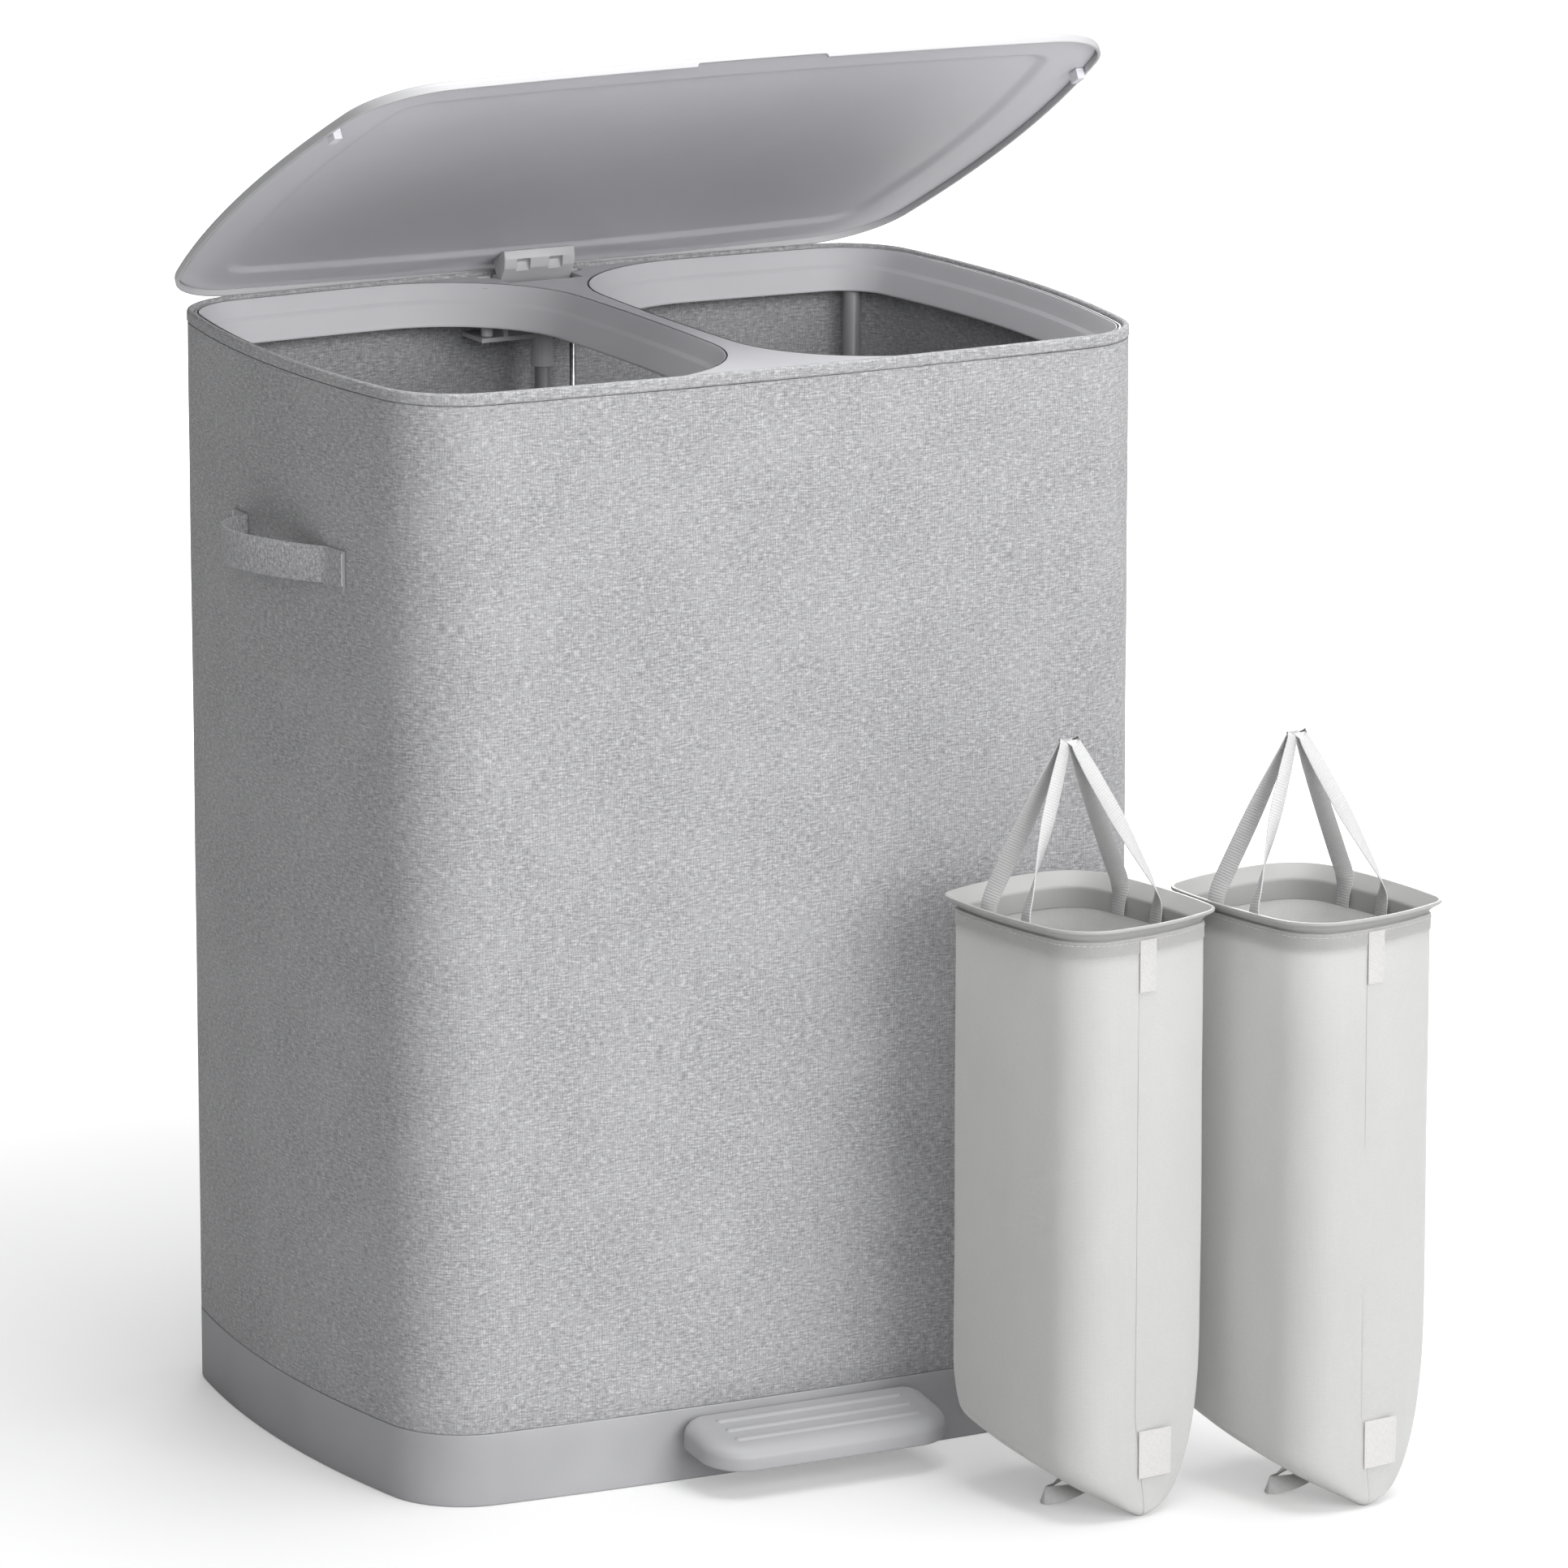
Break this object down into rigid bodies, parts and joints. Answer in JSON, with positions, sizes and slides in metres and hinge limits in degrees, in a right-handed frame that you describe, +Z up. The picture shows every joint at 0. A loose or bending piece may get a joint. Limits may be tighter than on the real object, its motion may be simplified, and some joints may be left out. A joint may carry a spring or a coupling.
{
  "type": "pedal laundry hamper",
  "caption": "Pedal hamper with a fabric-covered body, divided top frame, hinged lid raised by a rod, and separate fabric liner bags with rims and straps.",
  "frame": {"origin": "on the floor, under the middle of the hamper's base", "axes": "+Z up, -Y towards the pedal, +X to the user's right when facing the hamper"},
  "size_m": [0.5709, 0.5983, 0.8103],
  "materials": {
    "pale_plastic": "fine moulded texture",
    "grey_plastic": "satin moulded",
    "lid_plastic": "satin moulded",
    "liner_plastic": "satin moulded",
    "rim_plastic": "satin moulded",
    "sleeve_fabric": "fine plain weave",
    "bag_fabric": "plain woven cloth",
    "label_fabric": "smooth woven tape",
    "webbing": "flat webbing",
    "pole_steel": "satin grey coating",
    "bare_steel": "drawn wire and pressed sheet",
    "buffer_rubber": "soft pad"
  },
  "bodies": {
    "hamper": {"base_shell": "pale_plastic", "bottom_cover": "grey_plastic", "fabric_sleeve": "sleeve_fabric", "sleeve_hem": "sleeve_fabric", "top_frame": "grey_plastic", "hinge_bracket": "pale_plastic", "bracket_screw_left": "bare_steel", "bracket_screw_right": "bare_steel", "pole_front_left": "pole_steel", "pole_front_right": "pole_steel", "pole_rear_left": "pole_steel", "pole_rear_right": "pole_steel", "middle_post": "pole_steel", "hinge_pin": "bare_steel", "carry_handle_left": "webbing", "carry_handle_right": "webbing", "pedal_pivot_pin": "bare_steel"},
    "lid": {"lid_shell": "lid_plastic", "lid_liner": "liner_plastic", "lid_buffer_left": "buffer_rubber", "lid_buffer_right": "buffer_rubber", "hinge_block": "pale_plastic"},
    "lifting_rod": {"push_rod": "bare_steel", "rod_yoke": "pale_plastic"},
    "pedal": {"pedal_lever": "bare_steel", "pedal_tread": "pale_plastic"},
    "bag_a": {"bag_a_rim": "rim_plastic", "bag_a_body": "bag_fabric", "bag_a_hem": "bag_fabric", "bag_a_strap_left": "bag_fabric", "bag_a_strap_right": "bag_fabric", "bag_a_loop": "bag_fabric", "bag_a_tab": "bag_fabric", "bag_a_label": "label_fabric"},
    "bag_b": {"bag_b_rim": "rim_plastic", "bag_b_body": "bag_fabric", "bag_b_hem": "bag_fabric", "bag_b_strap_left": "bag_fabric", "bag_b_strap_right": "bag_fabric", "bag_b_loop": "bag_fabric", "bag_b_tab": "bag_fabric", "bag_b_label": "label_fabric"}
  },
  "joints": [
    {"name": "lid_hinge", "type": "hinge", "parent": "hamper", "child": "lid", "pos_m": [0, 0.1665, 0.633], "axis": [-1, 0, 0], "range_deg": [-28, 42]},
    {"name": "rod_slide", "type": "slide", "parent": "hamper", "child": "lifting_rod", "axis": [0, 0, 1], "range_m": [-0.0081, 0.0121]},
    {"name": "pedal_pivot", "type": "hinge", "parent": "hamper", "child": "pedal", "pos_m": [0, -0.06, 0.022], "axis": [1, 0, 0], "range_deg": [-2.2, 3.3]},
    {"name": "bag_a_lift", "type": "slide", "parent": "hamper", "child": "bag_a", "axis": [0, 0, 1], "range_m": [0, 0.3]},
    {"name": "bag_b_lift", "type": "slide", "parent": "hamper", "child": "bag_b", "axis": [0, 0, 1], "range_m": [0, 0.3]}
  ],
  "couplings": [
    {"joint": "rod_slide", "follows": "lid_hinge", "m_per_rad": 0.016468},
    {"joint": "pedal_pivot", "follows": "lid_hinge", "ratio": 0.077871}
  ]
}
